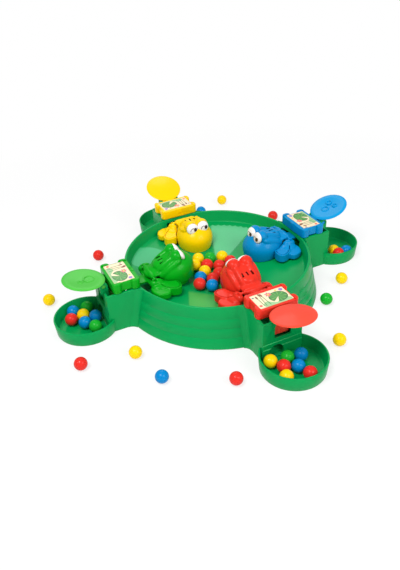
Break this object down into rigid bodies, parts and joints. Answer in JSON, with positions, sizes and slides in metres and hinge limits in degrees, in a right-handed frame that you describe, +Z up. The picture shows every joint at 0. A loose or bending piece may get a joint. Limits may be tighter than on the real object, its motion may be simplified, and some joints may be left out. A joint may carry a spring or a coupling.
{
  "type": "frog marble grabbing game",
  "caption": "Round marble pond with frogs on its four sides, each worked by a lily-pad lever that sends marbles down a chute into a dish.",
  "frame": {"origin": "on the table, under the middle of the pond", "axes": "+Z up; the arms lie along +X (blue), +Y (yellow), -X (green) and -Y (red)"},
  "size_m": [0.372, 0.372, 0.0703],
  "materials": {
    "base_green": "glossy moulded plastic",
    "blue_plastic": "glossy moulded plastic",
    "yellow_plastic": "glossy moulded plastic",
    "green_plastic": "glossy moulded plastic",
    "red_plastic": "glossy moulded plastic",
    "eye_white": "glossy moulded plastic",
    "marble_blue": "glossy ball",
    "marble_red": "glossy ball",
    "marble_yellow": "glossy ball",
    "marble_green": "glossy ball"
  },
  "bodies": {
    "base": {"pond_tray": "base_green", "tower_blue": "base_green", "dish_blue": "base_green", "cover_blue": "blue_plastic", "tower_yellow": "base_green", "dish_yellow": "base_green", "cover_yellow": "yellow_plastic", "tower_green": "base_green", "dish_green": "base_green", "cover_green": "green_plastic", "tower_red": "base_green", "dish_red": "base_green", "cover_red": "red_plastic"},
    "lever_blue": {"lever_blue": "blue_plastic"},
    "jaw_blue": {"jaw_blue": "blue_plastic"},
    "head_blue": {"head_blue": "blue_plastic", "eyes_blue": "eye_white"},
    "lever_yellow": {"lever_yellow": "yellow_plastic"},
    "jaw_yellow": {"jaw_yellow": "yellow_plastic"},
    "head_yellow": {"head_yellow": "yellow_plastic", "eyes_yellow": "eye_white"},
    "lever_green": {"lever_green": "green_plastic"},
    "jaw_green": {"jaw_green": "green_plastic"},
    "head_green": {"head_green": "green_plastic", "eyes_green": "eye_white"},
    "lever_red": {"lever_red": "red_plastic"},
    "jaw_red": {"jaw_red": "red_plastic"},
    "head_red": {"head_red": "red_plastic", "eyes_red": "eye_white"},
    "marble_dish_blue_1": {"marble_dish_blue_1": "marble_yellow"},
    "marble_dish_blue_2": {"marble_dish_blue_2": "marble_blue"},
    "marble_dish_green_1": {"marble_dish_green_1": "marble_blue"},
    "marble_dish_green_2": {"marble_dish_green_2": "marble_green"},
    "marble_dish_green_3": {"marble_dish_green_3": "marble_red"},
    "marble_dish_green_4": {"marble_dish_green_4": "marble_yellow"},
    "marble_dish_green_5": {"marble_dish_green_5": "marble_blue"},
    "marble_dish_green_6": {"marble_dish_green_6": "marble_green"},
    "marble_dish_green_7": {"marble_dish_green_7": "marble_blue"},
    "marble_dish_red_1": {"marble_dish_red_1": "marble_yellow"},
    "marble_dish_red_2": {"marble_dish_red_2": "marble_green"},
    "marble_dish_red_3": {"marble_dish_red_3": "marble_blue"},
    "marble_dish_red_4": {"marble_dish_red_4": "marble_red"},
    "marble_dish_red_5": {"marble_dish_red_5": "marble_blue"},
    "marble_dish_red_6": {"marble_dish_red_6": "marble_red"},
    "marble_dish_red_7": {"marble_dish_red_7": "marble_yellow"},
    "marble_pond_1": {"marble_pond_1": "marble_blue"},
    "marble_pond_2": {"marble_pond_2": "marble_red"},
    "marble_pond_3": {"marble_pond_3": "marble_blue"},
    "marble_pond_4": {"marble_pond_4": "marble_yellow"},
    "marble_pond_5": {"marble_pond_5": "marble_green"},
    "marble_pond_6": {"marble_pond_6": "marble_yellow"},
    "marble_pond_7": {"marble_pond_7": "marble_red"},
    "marble_pond_8": {"marble_pond_8": "marble_yellow"},
    "marble_pond_9": {"marble_pond_9": "marble_red"},
    "marble_pond_10": {"marble_pond_10": "marble_red"},
    "marble_pond_11": {"marble_pond_11": "marble_green"},
    "marble_pond_12": {"marble_pond_12": "marble_yellow"},
    "marble_pond_13": {"marble_pond_13": "marble_red"},
    "marble_pond_14": {"marble_pond_14": "marble_red"}
  },
  "joints": [
    {"name": "lever_blue_press", "type": "hinge", "parent": "base", "child": "lever_blue", "pos_m": [0.1325, 0, 0.0505], "axis": [0, 1, 0], "range_deg": [0, 25]},
    {"name": "jaw_blue_slide", "type": "slide", "parent": "base", "child": "jaw_blue", "axis": [-1, 0, 0], "range_m": [0, 0.00655]},
    {"name": "head_blue_lift", "type": "hinge", "parent": "jaw_blue", "child": "head_blue", "pos_m": [0.084, 0, 0.045], "axis": [0, 1, 0], "range_deg": [0, 20.01]},
    {"name": "lever_yellow_press", "type": "hinge", "parent": "base", "child": "lever_yellow", "pos_m": [0, 0.1325, 0.0505], "axis": [-1, 0, 0], "range_deg": [0, 25]},
    {"name": "jaw_yellow_slide", "type": "slide", "parent": "base", "child": "jaw_yellow", "axis": [0, -1, 0], "range_m": [0, 0.00655]},
    {"name": "head_yellow_lift", "type": "hinge", "parent": "jaw_yellow", "child": "head_yellow", "pos_m": [0, 0.084, 0.045], "axis": [-1, 0, 0], "range_deg": [0, 20.01]},
    {"name": "lever_green_press", "type": "hinge", "parent": "base", "child": "lever_green", "pos_m": [-0.1325, 0, 0.0505], "axis": [0, -1, 0], "range_deg": [-15, 10]},
    {"name": "jaw_green_slide", "type": "slide", "parent": "base", "child": "jaw_green", "axis": [1, 0, 0], "range_m": [-0.00393, 0.00262]},
    {"name": "head_green_lift", "type": "hinge", "parent": "jaw_green", "child": "head_green", "pos_m": [-0.08007, 0, 0.045], "axis": [0, -1, 0], "range_deg": [-12.01, 8.01]},
    {"name": "lever_red_press", "type": "hinge", "parent": "base", "child": "lever_red", "pos_m": [0, -0.1325, 0.0505], "axis": [1, 0, 0], "range_deg": [-12.7, 12.3]},
    {"name": "jaw_red_slide", "type": "slide", "parent": "base", "child": "jaw_red", "axis": [0, 1, 0], "range_m": [-0.00333, 0.00322]},
    {"name": "head_red_lift", "type": "hinge", "parent": "jaw_red", "child": "head_red", "pos_m": [0, -0.08067, 0.045], "axis": [1, 0, 0], "range_deg": [-10.17, 9.85]},
    {"name": "marble_dish_blue_1_lift", "type": "slide", "parent": "base", "child": "marble_dish_blue_1", "axis": [0, 0, 1], "range_m": [0, 0.034]},
    {"name": "marble_dish_blue_2_lift", "type": "slide", "parent": "base", "child": "marble_dish_blue_2", "axis": [0, 0, 1], "range_m": [0, 0.034]},
    {"name": "marble_dish_green_1_lift", "type": "slide", "parent": "base", "child": "marble_dish_green_1", "axis": [0, 0, 1], "range_m": [0, 0.034]},
    {"name": "marble_dish_green_2_lift", "type": "slide", "parent": "base", "child": "marble_dish_green_2", "axis": [0, 0, 1], "range_m": [0, 0.034]},
    {"name": "marble_dish_green_3_lift", "type": "slide", "parent": "base", "child": "marble_dish_green_3", "axis": [0, 0, 1], "range_m": [0, 0.034]},
    {"name": "marble_dish_green_4_lift", "type": "slide", "parent": "base", "child": "marble_dish_green_4", "axis": [0, 0, 1], "range_m": [0, 0.034]},
    {"name": "marble_dish_green_5_lift", "type": "slide", "parent": "base", "child": "marble_dish_green_5", "axis": [0, 0, 1], "range_m": [0, 0.034]},
    {"name": "marble_dish_green_6_lift", "type": "slide", "parent": "base", "child": "marble_dish_green_6", "axis": [0, 0, 1], "range_m": [0, 0.034]},
    {"name": "marble_dish_green_7_lift", "type": "slide", "parent": "base", "child": "marble_dish_green_7", "axis": [0, 0, 1], "range_m": [0, 0.034]},
    {"name": "marble_dish_red_1_lift", "type": "slide", "parent": "base", "child": "marble_dish_red_1", "axis": [0, 0, 1], "range_m": [0, 0.034]},
    {"name": "marble_dish_red_2_lift", "type": "slide", "parent": "base", "child": "marble_dish_red_2", "axis": [0, 0, 1], "range_m": [0, 0.034]},
    {"name": "marble_dish_red_3_lift", "type": "slide", "parent": "base", "child": "marble_dish_red_3", "axis": [0, 0, 1], "range_m": [0, 0.034]},
    {"name": "marble_dish_red_4_lift", "type": "slide", "parent": "base", "child": "marble_dish_red_4", "axis": [0, 0, 1], "range_m": [0, 0.034]},
    {"name": "marble_dish_red_5_lift", "type": "slide", "parent": "base", "child": "marble_dish_red_5", "axis": [0, 0, 1], "range_m": [0, 0.034]},
    {"name": "marble_dish_red_6_lift", "type": "slide", "parent": "base", "child": "marble_dish_red_6", "axis": [0, 0, 1], "range_m": [0, 0.034]},
    {"name": "marble_dish_red_7_lift", "type": "slide", "parent": "base", "child": "marble_dish_red_7", "axis": [0, 0, 1], "range_m": [0, 0.034]},
    {"name": "marble_pond_1_lift", "type": "slide", "parent": "base", "child": "marble_pond_1", "axis": [0, 0, 1], "range_m": [0, 0.0015]},
    {"name": "marble_pond_2_lift", "type": "slide", "parent": "base", "child": "marble_pond_2", "axis": [0, 0, 1], "range_m": [0, 0.034]},
    {"name": "marble_pond_3_lift", "type": "slide", "parent": "base", "child": "marble_pond_3", "axis": [0, 0, 1], "range_m": [0, 0.0015]},
    {"name": "marble_pond_4_lift", "type": "slide", "parent": "base", "child": "marble_pond_4", "axis": [0, 0, 1], "range_m": [0, 0.034]},
    {"name": "marble_pond_5_lift", "type": "slide", "parent": "base", "child": "marble_pond_5", "axis": [0, 0, 1], "range_m": [0, 0.034]},
    {"name": "marble_pond_6_lift", "type": "slide", "parent": "base", "child": "marble_pond_6", "axis": [0, 0, 1], "range_m": [0, 0.034]},
    {"name": "marble_pond_7_lift", "type": "slide", "parent": "base", "child": "marble_pond_7", "axis": [0, 0, 1], "range_m": [0, 0.034]},
    {"name": "marble_pond_8_lift", "type": "slide", "parent": "base", "child": "marble_pond_8", "axis": [0, 0, 1], "range_m": [0, 0.0015]},
    {"name": "marble_pond_9_lift", "type": "slide", "parent": "base", "child": "marble_pond_9", "axis": [0, 0, 1], "range_m": [0, 0.034]},
    {"name": "marble_pond_10_lift", "type": "slide", "parent": "base", "child": "marble_pond_10", "axis": [0, 0, 1], "range_m": [0, 0.034]},
    {"name": "marble_pond_11_lift", "type": "slide", "parent": "base", "child": "marble_pond_11", "axis": [0, 0, 1], "range_m": [0, 0.034]},
    {"name": "marble_pond_12_lift", "type": "slide", "parent": "base", "child": "marble_pond_12", "axis": [0, 0, 1], "range_m": [0, 0.034]},
    {"name": "marble_pond_13_lift", "type": "slide", "parent": "base", "child": "marble_pond_13", "axis": [0, 0, 1], "range_m": [0, 0.006]},
    {"name": "marble_pond_14_lift", "type": "slide", "parent": "base", "child": "marble_pond_14", "axis": [0, 0, 1], "range_m": [0, 0.034]}
  ],
  "couplings": [
    {"joint": "jaw_blue_slide", "follows": "lever_blue_press", "m_per_rad": 0.015},
    {"joint": "head_blue_lift", "follows": "lever_blue_press", "ratio": 0.8},
    {"joint": "jaw_yellow_slide", "follows": "lever_yellow_press", "m_per_rad": 0.015},
    {"joint": "head_yellow_lift", "follows": "lever_yellow_press", "ratio": 0.8},
    {"joint": "jaw_green_slide", "follows": "lever_green_press", "m_per_rad": 0.015},
    {"joint": "head_green_lift", "follows": "lever_green_press", "ratio": 0.8},
    {"joint": "jaw_red_slide", "follows": "lever_red_press", "m_per_rad": 0.015},
    {"joint": "head_red_lift", "follows": "lever_red_press", "ratio": 0.8}
  ]
}
